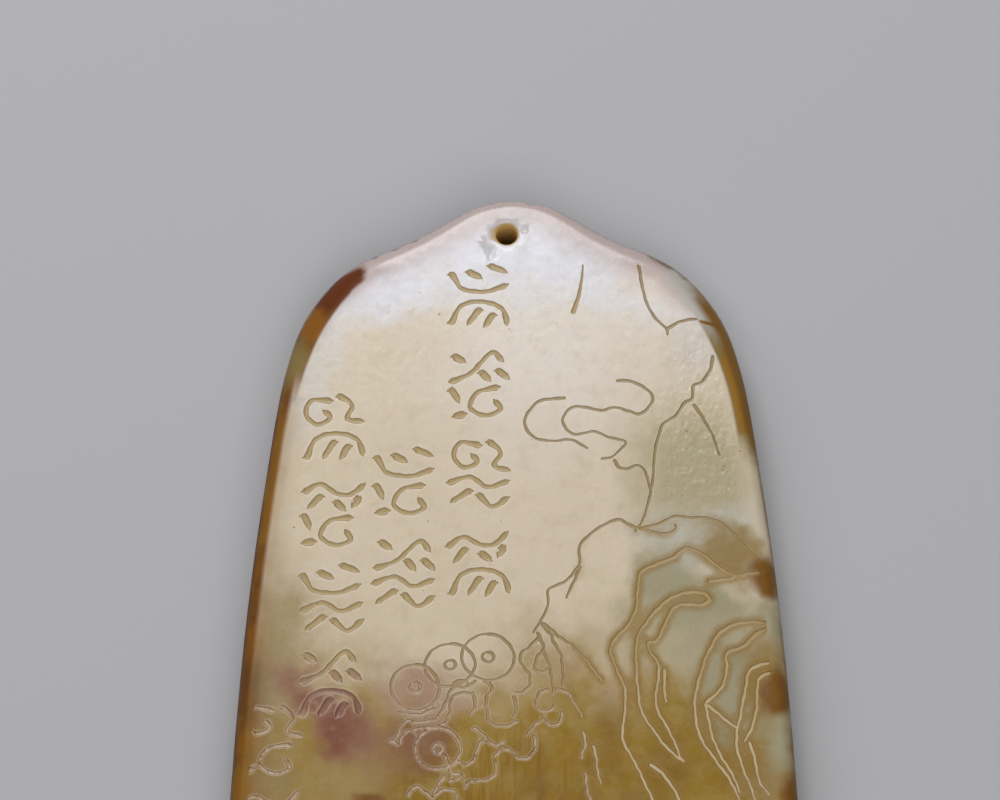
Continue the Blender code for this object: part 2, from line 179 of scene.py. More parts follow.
OUTER_SHARE = 1.8
FARTHEST = 5.0
STATION_STEP = 0.00020
END_TURN = 0.4 * math.pi
PAIRS_AT_ONCE = 2_000_000

MARK_COLUMNS = [
    (-3.4, [11.4, 21.0, 30.6, 40.2]),
    (-11.0, [31.4, 41.1]),
    (-18.3, [25.7, 34.7, 43.7, 52.7]),
    (-24.1, [58.3, 66.9]),
]
MARK_HEADS = [
    [[(-0.46, 0.36), (-0.30, 0.14), (0.06, 0.08), (0.44, 0.20)], [(-0.20, 0.40), (0.02, 0.30)],
     [(0.14, 0.50), (0.42, 0.40)]],
    [[(-0.46, 0.06), (-0.12, 0.20), (0.22, 0.50), (0.38, 0.34)], [(0.02, 0.18), (0.16, 0.04)],
     [(0.28, 0.20), (0.46, 0.06)], [(-0.40, 0.46), (-0.22, 0.36)]],
    [[(-0.02, 0.44), (-0.34, 0.46), (-0.44, 0.26), (-0.26, 0.08), (-0.06, 0.18), (-0.16, 0.30)],
     [(0.10, 0.50), (0.30, 0.34), (0.20, 0.14), (0.46, 0.08)]],
    [[(-0.48, 0.30), (-0.24, 0.44), (0.02, 0.30), (0.24, 0.30), (0.46, 0.48)],
     [(-0.22, 0.24), (-0.40, 0.04)], [(0.02, 0.16), (0.18, 0.04)], [(0.36, 0.24), (0.28, 0.10)]],
]
MARK_FEET = [
    [[(-0.46, -0.42), (-0.32, -0.16), (0.02, -0.08), (0.34, -0.20), (0.42, -0.46)],
     [(-0.02, -0.22), (-0.20, -0.46)], [(0.20, -0.30), (0.06, -0.50)]],
    [[(0.28, -0.06), (-0.06, -0.14), (-0.18, -0.36), (0.06, -0.50), (0.30, -0.40), (0.20, -0.26)],
     [(-0.46, -0.08), (-0.34, -0.28)], [(-0.26, -0.46), (-0.46, -0.50)]],
    [[(-0.48, -0.18), (-0.16, -0.06), (0.12, -0.20), (0.46, -0.08)],
     [(0.00, -0.34), (0.22, -0.50), (0.48, -0.34)], [(-0.14, -0.28), (-0.42, -0.48)]],
]

BRUSHED_LINE = [(7.2, 7.9), (7.1, 9.2), (6.9, 10.6), (6.2, 13.1)]
SKY_LINES = [
    [(12.9, 7.4), (13.2, 9.2), (13.6, 11.5), (14.5, 13.5), (15.8, 15.0), (15.9, 15.5)],
    [(15.9, 14.9), (17.2, 14.1), (18.5, 13.8), (20.0, 14.0), (21.4, 14.6)],
]
CLOUD_LINES = [
    [(5.2, 22.5), (3.8, 22.6), (2.4, 23.0), (1.2, 24.7), (1.3, 25.8), (2.4, 26.9), (4.2, 27.1), (5.9, 27.0),
     (7.5, 27.9)],
    [(10.7, 20.6), (11.7, 20.6), (13.1, 21.1), (14.3, 22.4), (13.9, 23.4), (12.9, 24.2), (11.9, 23.9),
     (10.4, 23.5), (9.1, 23.8), (6.7, 23.4), (5.9, 23.6), (5.0, 24.8), (5.4, 25.8), (6.2, 26.4), (8.2, 26.1),
     (9.5, 26.6), (11.5, 27.3), (11.0, 27.9), (9.9, 28.9), (9.0, 29.0)],
    [(10.3, 29.2), (10.7, 29.9), (11.4, 30.1), (12.7, 29.7), (13.4, 30.4), (13.9, 32.2)],
]
CLIFF_LINES = [
    [(20.5, 17.9), (20.2, 19.4), (19.3, 20.7), (18.5, 21.0), (18.3, 22.5), (17.6, 22.9), (16.6, 24.3),
     (15.3, 25.3), (14.8, 26.6), (14.4, 28.3), (14.3, 29.9), (13.9, 32.8), (13.1, 35.5), (12.4, 36.7)],
    [(18.5, 23.2), (19.3, 24.4), (20.4, 26.6), (21.0, 28.5)],
    [(12.6, 36.4), (11.7, 36.0), (10.7, 35.5), (9.4, 35.9), (8.2, 36.7), (6.8, 38.1), (6.6, 39.0),
     (6.7, 40.0), (6.2, 40.9), (5.2, 42.0), (3.5, 42.9), (3.5, 44.1), (2.9, 45.8), (2.0, 47.3)],
    [(6.7, 40.5), (6.1, 42.0), (5.3, 43.7)],
    [(12.9, 36.4), (14.7, 35.9), (16.4, 35.1), (17.8, 35.2), (19.9, 35.3), (21.7, 36.2), (22.8, 37.4),
     (24.0, 38.9), (25.9, 40.0)],
    [(12.9, 36.4), (14.3, 36.8), (15.6, 36.9), (16.5, 36.4), (16.4, 36.0)],
]
ROCK_FOLDS = [
    [(25.4, 41.0), (24.0, 41.0), (22.6, 41.3), (21.0, 40.6), (18.7, 38.8), (17.5, 38.4), (16.3, 39.3),
     (12.9, 41.0), (12.5, 42.8), (12.4, 44.6), (11.6, 46.3), (9.7, 48.8), (9.9, 50.0), (11.1, 53.2),
     (11.1, 55.5), (10.8, 57.9), (11.3, 59.3), (12.4, 61.4), (14.2, 65.5), (16.2, 70.0)],
    [(19.8, 41.9), (21.6, 41.6), (22.8, 41.2)],
    [(19.8, 43.8), (19.3, 43.2), (17.5, 43.1), (16.3, 43.4), (14.9, 44.4), (12.8, 47.0), (12.3, 48.7),
     (12.3, 50.9), (12.7, 55.1), (13.6, 56.9), (15.9, 59.8), (16.9, 60.5)],
    [(19.8, 43.8), (19.1, 44.3), (16.3, 44.5), (15.5, 45.8), (14.3, 48.1), (13.5, 48.3), (13.8, 49.4),
     (14.5, 50.6), (14.4, 52.7), (14.2, 54.8), (15.4, 57.2), (16.7, 60.3)],
    [(15.1, 51.1), (15.1, 52.7), (15.2, 54.4)],
    [(26.9, 47.0), (25.5, 46.4), (24.1, 46.1), (22.5, 46.3), (20.8, 47.2), (19.7, 48.9), (18.4, 52.7),
     (18.1, 55.1), (18.3, 56.9), (18.9, 58.6), (21.3, 62.1), (22.4, 64.4), (23.8, 70.5)],
    [(25.3, 46.9), (24.3, 47.4), (23.3, 48.5), (21.4, 49.4), (21.4, 50.9), (21.0, 52.5), (20.0, 53.9),
     (19.2, 54.5), (19.3, 55.4), (20.2, 59.1), (21.8, 61.9), (22.4, 63.6)],
    [(19.4, 54.8), (20.9, 56.0), (22.3, 57.2)],
    [(26.8, 50.1), (25.4, 50.4), (23.6, 51.2), (23.3, 52.7), (22.2, 58.6), (22.4, 59.8), (23.8, 63.8),
     (25.4, 68.0)],
    [(26.8, 50.2), (25.9, 51.3), (24.6, 52.0), (24.3, 55.1), (23.8, 56.9), (23.1, 58.4)],
    [(23.5, 58.6), (24.1, 60.5), (24.4, 62.5), (25.4, 63.8)],
    [(13.6, 60.9), (14.9, 61.9), (16.3, 64.2), (18.6, 69.6)],
]
ROCK_FEET = [
    [(2.4, 47.4), (2.9, 48.6), (3.4, 50.3), (3.8, 52.0), (4.0, 53.6)],
    [(2.9, 46.6), (3.9, 47.9), (4.8, 50.2), (5.0, 53.0)],
    [(2.9, 46.4), (5.2, 48.2), (7.3, 50.2), (8.7, 52.3)],
    [(2.4, 47.9), (1.4, 49.0), (0.7, 49.8), (0.8, 50.8), (1.6, 51.7), (1.6, 52.7), (0.9, 53.5), (0.2, 53.5)],
    [(2.9, 49.2), (2.3, 50.0), (2.2, 51.0), (2.8, 51.4), (3.6, 51.0)],
    [(3.3, 53.2), (2.5, 53.6), (2.3, 54.5), (2.7, 55.4), (3.6, 55.5), (4.0, 54.8)],
    [(4.3, 53.2), (5.4, 53.6), (6.1, 54.6), (6.7, 56.0)],
    [(4.8, 55.6), (4.6, 56.5), (3.7, 57.0), (2.9, 56.2), (2.0, 57.0), (1.3, 57.9)],
    [(6.9, 57.6), (7.1, 58.8), (6.8, 60.2)],
    [(7.9, 59.0), (8.3, 60.8), (8.5, 62.8)],
    [(7.1, 61.8), (7.2, 63.0), (7.7, 64.6)],
]
TREE_LINES = [
    [(-3.9, 52.4), (-4.7, 52.9), (-6.0, 53.1), (-6.7, 54.0), (-7.1, 55.2), (-7.8, 56.2), (-9.2, 56.6),
     (-10.6, 56.4), (-11.4, 57.4), (-12.0, 58.5)],
    [(-4.1, 53.6), (-5.5, 53.6), (-6.2, 54.3), (-6.5, 55.5), (-6.8, 56.6), (-7.8, 57.1), (-10.2, 57.3),
     (-11.0, 57.9), (-11.3, 58.7)],
    [(-8.0, 55.2), (-9.8, 55.9), (-11.5, 55.4)],
    [(-6.0, 52.6), (-5.2, 52.3), (-4.4, 52.7)],
    [(-2.9, 52.4), (-2.2, 53.0), (-2.6, 54.0), (-2.8, 55.2), (-2.5, 56.4), (-1.7, 56.9), (-0.6, 56.9),
     (0.3, 56.5)],
    [(0.0, 54.0), (0.2, 55.2), (0.1, 56.0)],
    [(-4.1, 53.8), (-3.9, 54.7), (-4.2, 55.8)],
    [(2.0, 58.0), (2.1, 59.2), (1.4, 60.3), (0.5, 60.2), (-0.1, 59.6)],
    [(-4.0, 57.2), (-3.2, 57.8), (-2.6, 58.3), (-1.9, 58.9), (-0.9, 58.7)],
    [(-2.8, 58.2), (-3.5, 58.9), (-3.8, 60.1), (-4.4, 60.8), (-5.6, 60.7), (-6.2, 61.1)],
    [(-0.5, 59.4), (-1.2, 59.2), (-1.8, 60.1), (-1.8, 61.5), (-2.5, 62.4), (-3.6, 62.6), (-4.4, 62.6),
     (-4.9, 63.3)],
    [(-7.0, 59.9), (-6.6, 60.8), (-6.2, 61.6), (-5.2, 62.0), (-6.4, 62.6)],
    [(-6.9, 62.0), (-7.6, 63.0), (-7.9, 64.2)],
    [(-10.5, 64.0), (-9.8, 63.2), (-8.8, 63.6), (-8.0, 64.4), (-7.2, 63.5), (-6.0, 63.6), (-5.4, 64.8)],
    [(-12.3, 58.5), (-11.6, 58.9)],
    [(-11.4, 65.0), (-12.2, 66.6), (-11.4, 68.2), (-12.4, 70.4)],
]
LEAF_DISCS = [(-9.9, 53.0, 2.45, 2.35), (-6.4, 50.7, 2.5, 2.2), (-2.6, 49.9, 2.6, 2.4),
              (-7.6, 59.3, 2.2, 2.15)]
LEAF_RING_SHARE = 0.22
SCALLOPED_LINES = [
    ((-22.0, 80.5), (5.0, 74.0), 7.0, -1.5),
    ((-4.0, 84.5), (24.0, 77.5), 7.0, -1.8),
    ((-12.5, 90.0), (4.5, 90.6), 8.5, -0.9),
]


def ring(across, down, half_width, half_height):
    """A closed oval, begun at its top, and not quite even, as a freehand wheel leaves it."""
    turns = np.linspace(0.0, 2 * math.pi, 25)
    unevenness = 1.0 + 0.035 * np.sin(2 * turns + across) * np.sin(turns / 2)
    return np.column_stack([across + half_width * unevenness * np.sin(turns),
                            down - half_height * unevenness * np.cos(turns)])


def scallops(first, last, length, bulge):
    """Equal half-round bulges of about the given length from one point to another: the straight way, plus
    the size of a sine to one side."""
    first, last = np.array(first), np.array(last)
    distance = np.linalg.norm(last - first)
    count = max(1, round(distance / length))
    side = np.array([last[1] - first[1], first[0] - last[0]]) / distance
    turns = np.linspace(0.0, count, count * 6 + 1)[:, None]
    return first + (last - first) * turns / count + side * bulge * np.abs(np.sin(math.pi * turns))


def brushed(run):
    """How wide a brush stroke is along its run: heavy just after the brush lands and again before it lifts,
    as two bells on an even width, with tips that open by a square root, and the chatter of two sines."""
    to_end = run[-1] - run
    landed = 0.38 * bell((run - BRUSH_PRESS) / LANDING_SPREAD)
    lifting = 0.26 * bell((to_end - BRUSH_PRESS) / LIFTING_SPREAD)
    body = 0.80 + landed + lifting
    tips = 0.40 + 0.60 * np.sqrt(np.clip(np.minimum(run, to_end) / BRUSH_TIP, 0.0, 1.0))
    return body * tips * (1.0 + 0.07 * np.sin(run / 0.00017) + 0.05 * np.sin(run / 0.00041))


def wheeled(run):
    """How wide a wheel-cut line is along its run: it thins out slowly, and chatters by two small sines."""
    return 1.12 - 0.27 * run / run[-1] + 0.09 * np.sin(run / 0.00031) + 0.07 * np.sin(run / 0.00083)


def flared(run):
    """How wide a stroke is that opens evenly from a thread to a broad foot."""
    return 0.5 + 1.1 * run / run[-1]


def groove(points, half_width, depth, width_along, tremble=SMALL_TREMBLE):
    """A cut along a smooth line that trembles sideways, by the product of two long sines and half as much by
    a short one: the line, with its half width and depth at each point. A wide place is also deep."""
    line = flowing(on_tablet(points), STATION_STEP)
    along = np.gradient(line, axis=0)
    side = np.column_stack([-along[:, 1], along[:, 0]]) / np.linalg.norm(along, axis=1)[:, None]
    run = np.arange(len(line)) * STATION_STEP
    sway = np.sin(run / 0.00047) * np.sin(run / 0.0019) + 0.5 * np.sin(run / 0.00018)
    line = line + side * (tremble * sway)[:, None]
    width = width_along(run)
    return line, half_width * width, depth * (0.6 + 0.4 * width)


def brush_landing(stroke):
    """Where the brush first touches: a short slant out to the side that the stroke leaves behind, farther
    out and a little lower the steeper it sets off."""
    way = (stroke[1] - stroke[0]) / np.linalg.norm(stroke[1] - stroke[0])
    side = 1.0 if way[0] < -0.5 else -1.0
    return stroke[0] + BRUSH_LANDING * np.array([side * (0.3 + abs(way[1])), -0.3 + 0.35 * abs(way[0])])


# the marks: a head over a foot, each mark leaning in its own way
brush_grooves = []
mark_middles = [(across, down) for across, downs in MARK_COLUMNS for down in downs]
for number, middle in enumerate(mark_middles):
    lean = MARK_LEAN * math.sin(2.4 * number)
    turned = np.array([[math.cos(lean), math.sin(lean)], [-math.sin(lean), math.cos(lean)]])
    half_width = WORN_HALF_WIDTH if middle[1] > WORN_BELOW else MARK_HALF_WIDTH
    strokes = MARK_HEADS[number % len(MARK_HEADS)] + MARK_FEET[number % len(MARK_FEET)]
    for stroke in map(np.array, strokes):
        points = np.vstack([brush_landing(stroke), stroke]) * (MARK_HEIGHT * MARK_ASPECT, MARK_HEIGHT)
        squares = points @ turned * (1, -1) + middle
        brush_grooves.append(groove(squares, half_width, MARK_DEPTH, brushed))
brush_grooves.append(groove(BRUSHED_LINE, LINE_HALF_WIDTH, LINE_DEPTH, flared))

# the landscape in thin lines
even_lines = SKY_LINES + CLOUD_LINES + CLIFF_LINES + [scallops(*run) for run in SCALLOPED_LINES]
for across, down, half_width, half_height in LEAF_DISCS:
    even_lines.append(ring(across, down, half_width, half_height))
    even_lines.append(ring(across, down, half_width * LEAF_RING_SHARE, half_height * LEAF_RING_SHARE))
line_grooves = [groove(line, LINE_HALF_WIDTH, LINE_DEPTH, wheeled) for line in even_lines]
line_grooves += [groove(line, ROCK_HALF_WIDTH, LINE_DEPTH, wheeled, ROCK_TREMBLE) for line in ROCK_FOLDS]
line_grooves += [groove(line, LINE_HALF_WIDTH, LINE_DEPTH, wheeled, JAGGED_TREMBLE)
                 for line in ROCK_FEET + TREE_LINES]


def cut_by(grooves, points):
    """For each point, the depth cut by a list of grooves, and how near it is to one: nought on a groove's
    middle line and one at its half width.

    A groove has a flat floor and steep walls: full depth over the floor's share of its half width, then a
    smooth step up to its lip. Where two cross, the deeper one counts.
    """
    depth = np.zeros(len(points))
    nearness = np.full(len(points), FARTHEST)
    for line, half_widths, depths in grooves:
        reach = half_widths.max() * FARTHEST
        near = ((points > line.min(axis=0) - reach) & (points < line.max(axis=0) + reach)).all(axis=1)
        chosen = np.nonzero(near)[0]
        stretch = np.diff(line, axis=0)
        stations = np.arange(len(line))
        for part in np.array_split(chosen, max(1, len(chosen) * len(line) // PAIRS_AT_ONCE)):
            offset = points[part][:, None, :] - line[None, :-1]
            share = (offset * stretch).sum(axis=2) / np.maximum((stretch ** 2).sum(axis=1), 1e-18)
            share = np.clip(share, 0.0, 1.0)
            away = np.linalg.norm(offset - share[..., None] * stretch, axis=2)
            every = np.arange(len(part))
            closest = away.argmin(axis=1)
            spot = closest + share[every, closest]
            across = away[every, closest] / np.interp(spot, stations, half_widths)
            step = np.clip((across - FLOOR_SHARE) / (1.0 - FLOOR_SHARE), 0.0, 1.0)
            cut = (1.0 - step * step * (3.0 - 2.0 * step)) * np.interp(spot, stations, depths)
            depth[part] = np.maximum(depth[part], cut)
            nearness[part] = np.minimum(nearness[part], across)
    return depth, nearness


def groove_stations(grooves):
    """Points in rows along every groove, at fixed shares of its half width: its middle, both sides of its
    floor, its walls, its lips and the ground just outside. Both ends are closed by half rings."""
    rows = []
    wall = (FLOOR_SHARE + 1.0) / 2
    for line, half_widths, _ in grooves:
        along = np.gradient(line, axis=0)
        along /= np.linalg.norm(along, axis=1)[:, None]
        side = np.column_stack([-along[:, 1], along[:, 0]]) * half_widths[:, None]
        rows.append(line)
        for share in (FLOOR_SHARE, wall, LIP_SHARE):
            rows += [line + side * share, line - side * share]
        rows += [(line + side * OUTER_SHARE)[::2], (line - side * OUTER_SHARE)[::2]]
        turns = np.linspace(-END_TURN, END_TURN, 5)[:, None]
        for end, sign in ((0, -1.0), (-1, 1.0)):
            half_ring = sign * along[end] * half_widths[end] * np.cos(turns) + side[end] * np.sin(turns)
            rows += [line[end] + share * half_ring for share in (FLOOR_SHARE, wall, LIP_SHARE, OUTER_SHARE)]
    return np.vstack(rows)


# The cord hole and the hurts beside it
# Drilled from both sides with a stick drill and sand, so its mouths are worn and a flake has come off on the
# left. Two dull grey spalls lie beside it, and the top edge has a few small nicks.
HOLE_RADIUS = 0.00115
HOLE_MIDDLE = on_tablet((-0.7, 4.4))
HOLE_WORN_EDGE = 0.00025
HOLE_WAIST = 0.07
HOLE_SIDES = 48
FLAKE_REACH = 0.0007
FLAKE_TURN = -0.5 * math.pi
FLAKE_SPREAD = 0.55
SPALLS = [
    [(-3.1, 4.6), (-3.2, 5.5), (-2.8, 6.7), (-2.5, 7.6), (-1.9, 6.9), (-1.8, 6.0), (-2.2, 5.0)],
    [(0.7, 3.8), (0.9, 4.4), (1.5, 4.2), (1.6, 3.9)],
]
SPALL_DEPTH = 0.00014
SPALL_EDGE = 0.00012
SPALL_SIDES = 28
NICKS = [(-14.4, 6.4), (-12.3, 5.4), (-10.3, 4.5), (1.9, 0.5), (17.9, 8.6)]
NICK_RADIUS = 0.0004
NICK_DEPTH = 0.00022


def mouth_radius(turns):
    """Radius of the hole's worn mouth round its circle: even, but drawn out where the flake came off."""
    from_flake = np.angle(np.exp(1j * (turns - FLAKE_TURN)))
    flake = FLAKE_REACH * bell(from_flake / FLAKE_SPREAD) * (1.0 + 0.2 * np.sin(turns * 9.0))
    return HOLE_RADIUS + HOLE_WORN_EDGE + flake


def inside(points, border):
    """Whether each point lies in a closed border: a ray from it crosses that an odd number of times."""
    after = np.roll(border, -1, axis=0)
    rises = (border[:, 1] > points[:, 1:2]) != (after[:, 1] > points[:, 1:2])
    drop = np.where(after[:, 1] == border[:, 1], 1.0, after[:, 1] - border[:, 1])
    crossing = border[:, 0] + (points[:, 1:2] - border[:, 1]) * (after[:, 0] - border[:, 0]) / drop
    return (rises & (points[:, 0:1] < crossing)).sum(axis=1) % 2 == 1


def edge_distance(points, border):
    """Distance from each point to the nearest straight side of a closed border."""
    nearest = np.full(len(points), np.inf)
    for start, end in zip(border, np.roll(border, -1, axis=0)):
        stretch = end - start
        share = np.clip(((points - start) @ stretch) / (stretch @ stretch), 0.0, 1.0)
        nearest = np.minimum(nearest, np.linalg.norm(points - start - share[:, None] * stretch, axis=1))
    return nearest


spall_borders = [even_steps(on_tablet(spall + spall[:1]), count=SPALL_SIDES + 1)[:-1]
                 for spall in SPALLS]


def spall_share(points):
    """How far each point is into a spall: none outside, all of it past a short broken edge."""
    return sum(inside(points, border) * np.clip(edge_distance(points, border) / SPALL_EDGE, 0.0, 1.0)
               for border in spall_borders)


# The tablet's skin
# One closed surface: the carved face, the rounded rim and girth, the flat back and the bore. Points lie in
# rows along every groove and thinly over the open ground, so that the fine cuts stay crisp.
GROUND_STEP = 0.00075
BACK_STEP = 0.0040
CLOSEST_POINTS = 0.000025
GROUND_CLEARANCE = 2.2
FACE_MARGIN = 0.00022
MOUTH_MARGIN = 0.0001
BACK_MARGIN = 0.001
BORDER_ZONE = 0.006
HOLE_ZONE = 0.003
SLOPE_STEP = 0.00002
RIM_STEPS = 9
GIRTH_STEPS = 4
BACK_STEPS = 5
BORE_STEPS = 6


def ground_points(step, border_low, border_high):
    """Staggered rows of evenly spaced points over a rectangle."""
    across = np.arange(border_low[0], border_high[0], step)
    rows = np.arange(border_low[1], border_high[1], step * math.sqrt(0.75))
    grid_x, grid_y = np.meshgrid(across, rows)
    grid_x[1::2] += step / 2
    return np.column_stack([grid_x.ravel(), grid_y.ravel()])


def one_to_a_cell(points, cell):
    """The first point in each square cell of a fine grid."""
    cells = np.floor(points / cell).astype(np.int64)
    first = np.unique(cells[:, 0] * 10_000_019 + cells[:, 1], return_index=True)[1]
    return points[np.sort(first)]


def fill_between(border, hole, within):
    """Triangles, turned left, over the ground between border and hole, through the points within."""
    corners = np.vstack([border, hole, within])
    sides = [(first + side, first + (side + 1) % count)
             for first, count in ((0, len(border)), (len(border), len(hole))) for side in range(count)]
    result = delaunay_2d_cdt(list(map(Vector, (corners * 1000.0).tolist())), sides, [], 0, 1e-5)
    number = np.array([sources[0] for sources in result[3]])
    triangles = number[np.array(result[2])]
    middles = corners[triangles].mean(axis=1)
    low, high = border.min(axis=0) + BORDER_ZONE, border.max(axis=0) - BORDER_ZONE
    near_border = ((middles < low) | (middles > high)).any(axis=1)
    inner = np.ones(len(triangles), dtype=bool)
    for part in np.array_split(np.nonzero(near_border)[0], 12):
        inner[part] = inside(middles[part], border)
    by_hole = np.nonzero(np.linalg.norm(middles - HOLE_MIDDLE, axis=1) < HOLE_ZONE)[0]
    inner[by_hole] &= ~inside(middles[by_hole], hole)
    triangles = triangles[inner]
    one, two, three = (corners[triangles[:, corner]] for corner in range(3))
    ahead, beside = two - one, three - one
    turn = ahead[:, 0] * beside[:, 1] - ahead[:, 1] * beside[:, 0]
    return np.where((turn > 0)[:, None], triangles, triangles[:, ::-1])


def band(first_ring, second_ring, count):
    """Four-cornered faces between two rings, whose corners are numbered from the given numbers."""
    side = np.arange(count)
    after = (side + 1) % count
    return np.column_stack([first_ring + side, first_ring + after, second_ring + after, second_ring + side])


def carved_height(points):
    """Height of the face less the deepest cut and the spalls."""
    return face_height(points) - cut_by(grooves, points)[0] - SPALL_DEPTH * spall_share(points)


# rings over the rim, down the girth and round to the edge of the flat back: the rim is a quarter of an oval,
# part way to a flat bevel at the shoulders
edge_height = face_height(outline - outward * rim_width[:, None])
flatness = SHOULDER_FLATNESS * shoulder_share(outline)
back_edge = blank_low[2] + BACK_RADIUS
insets, heights = [], []
for share in np.linspace(0.0, 1.0, RIM_STEPS + 1):
    turn = 0.5 * math.pi * share
    insets.append(rim_width * ((1.0 - math.sin(turn)) * (1.0 - flatness) + (1.0 - share) * flatness))
    heights.append(edge_height - RIM_DEPTH * ((1.0 - math.cos(turn)) * (1.0 - flatness) + share * flatness))
for share in np.linspace(0.0, 1.0, GIRTH_STEPS + 1)[1:-1]:
    insets.append(np.zeros(OUTLINE_SIDES))
    heights.append(heights[RIM_STEPS] * (1.0 - share) + back_edge * share)
for turn in 0.5 * math.pi * np.linspace(0.0, 1.0, BACK_STEPS + 1):
    insets.append(np.full(OUTLINE_SIDES, BACK_RADIUS * (1.0 - math.cos(turn))))
    heights.append(np.full(OUTLINE_SIDES, back_edge - BACK_RADIUS * math.sin(turn)))
rings = [np.column_stack([outline - outward * inset[:, None], height])
         for inset, height in zip(insets, heights)]

# nicks pushed in along the rim
for nick in on_tablet(NICKS):
    for rim_ring in rings[:RIM_STEPS]:
        close = bell(np.linalg.norm(rim_ring[:, :2] - nick, axis=1) / NICK_RADIUS)
        rim_ring[:, :2] -= outward * (NICK_DEPTH * close)[:, None]
        rim_ring[:, 2] -= NICK_DEPTH * close

# rings down the bore, drilled from both sides and so a little waisted
hole_turns = np.linspace(0.0, 2 * math.pi, HOLE_SIDES, endpoint=False)
hole_circle = np.column_stack([np.sin(hole_turns), np.cos(hole_turns)])
mouth = HOLE_MIDDLE + hole_circle * mouth_radius(hole_turns)[:, None]
mouth_height = face_height(mouth)
bore_rings = [np.column_stack([mouth, mouth_height])]
for share in np.linspace(0.0, 1.0, BORE_STEPS + 1):
    radius = HOLE_RADIUS * (1.0 - HOLE_WAIST * (1.0 - (2 * share - 1) ** 2))
    height = (mouth_height - HOLE_WORN_EDGE) * (1 - share) + (blank_low[2] + HOLE_WORN_EDGE) * share
    bore_rings.append(np.column_stack([HOLE_MIDDLE + hole_circle * radius, height]))
back_mouth = HOLE_MIDDLE + hole_circle * (HOLE_RADIUS + HOLE_WORN_EDGE)
bore_rings.append(np.column_stack([back_mouth, np.full(HOLE_SIDES, blank_low[2])]))

# points over the face: along the grooves first, then round the spalls and over the open ground
grooves = brush_grooves + line_grooves
ground = ground_points(GROUND_STEP, blank_low, blank_high)
ground_nearness = cut_by(grooves, ground)[1]
rows = one_to_a_cell(np.vstack([groove_stations(grooves), *spall_borders]), CLOSEST_POINTS)
within = np.vstack([rows, ground[ground_nearness > GROUND_CLEARANCE]])
inner_border = outline - outward * (rim_width[:, None] + FACE_MARGIN)
fits = np.concatenate([inside(part, inner_border) for part in np.array_split(within, 24)])
fits &= ~inside(within, HOLE_MIDDLE + hole_circle * (mouth_radius(hole_turns) + MOUTH_MARGIN)[:, None])
within = within[fits]
brush_nearness = cut_by(brush_grooves, within)[1]
line_nearness = cut_by(line_grooves, within)[1]
within_height = carved_height(within)

# points over the flat back
back_points = ground_points(BACK_STEP, blank_low, blank_high)
back_fits = inside(back_points, outline - outward * (BACK_RADIUS + BACK_MARGIN))
back_fits &= np.linalg.norm(back_points - HOLE_MIDDLE, axis=1) > HOLE_RADIUS + BACK_MARGIN
back_points = back_points[back_fits]

# corners and faces of the whole skin
back_height = np.full(len(back_points), blank_low[2])
corners = np.vstack(rings + bore_rings + [np.column_stack([within, within_height]),
                                          np.column_stack([back_points, back_height])])
first_bore = len(rings) * OUTLINE_SIDES
first_within = first_bore + len(bore_rings) * HOLE_SIDES
first_back = first_within + len(within)
last_ring = (len(rings) - 1) * OUTLINE_SIDES
last_bore = first_bore + (len(bore_rings) - 1) * HOLE_SIDES
face_numbers = np.concatenate([np.arange(OUTLINE_SIDES), first_bore + np.arange(HOLE_SIDES),
                               first_within + np.arange(len(within))])
back_numbers = np.concatenate([last_ring + np.arange(OUTLINE_SIDES), last_bore + np.arange(HOLE_SIDES),
                               first_back + np.arange(len(back_points))])
face_triangles = face_numbers[fill_between(rings[0][:, :2], mouth, within)]
back_triangles = back_numbers[fill_between(rings[-1][:, :2], back_mouth, back_points)][:, ::-1]
rim_bands = np.vstack([band(step * OUTLINE_SIDES, (step + 1) * OUTLINE_SIDES, OUTLINE_SIDES)
                       for step in range(len(rings) - 1)])
bore_bands = np.vstack([band(ring_start, ring_start + HOLE_SIDES, HOLE_SIDES)[:, ::-1]
                        for ring_start in range(first_bore, last_bore, HOLE_SIDES)])

skin = bpy.data.meshes.new("carved_jade")
skin.from_pydata(corners.tolist(), [], rim_bands.tolist() + bore_bands.tolist()
                 + face_triangles.tolist() + back_triangles.tolist())
skin.shade_smooth()
pendant = bpy.data.objects.new("carved_jade", skin)
bpy.context.scene.collection.objects.link(pendant)

# over the face the shading follows the carving's own slopes, not the triangles between its points
skin_normals = np.empty(len(corners) * 3)
skin.vertex_normals.foreach_get("vector", skin_normals)
skin_normals = skin_normals.reshape(-1, 3)
slopes = [(carved_height(within + way) - carved_height(within - way)) / (2 * SLOPE_STEP)
          for way in np.eye(2) * SLOPE_STEP]
upright = np.column_stack([-slopes[0], -slopes[1], np.ones(len(within))])
skin_normals[first_within:first_back] = upright / np.linalg.norm(upright, axis=1)[:, None]
skin.normals_split_custom_set_from_vertices(skin_normals.tolist())


# what the stone's finish reads at each corner of the skin: how near the brush strokes and thin lines are,
# the spalls, the bore's wall, and the way in from the rim's inner edge, which is below nought on the rim
# and less by the whole rim's width at the girth
def keep(name, at_rings=0.0, at_bore=0.0, at_within=0.0, at_back=0.0):
    """A number for each corner, given for the rings, the bore, the face and the back in turn."""
    values = np.concatenate([
        np.broadcast_to(at_rings, (len(rings), OUTLINE_SIDES)).ravel(),
        np.broadcast_to(at_bore, (len(bore_rings), HOLE_SIDES)).ravel(),
        np.broadcast_to(at_within, len(within)),
        np.broadcast_to(at_back, len(back_points)),
    ])
    skin.attributes.new(name, "FLOAT", "POINT").data.foreach_set("value", values.astype(np.float32))


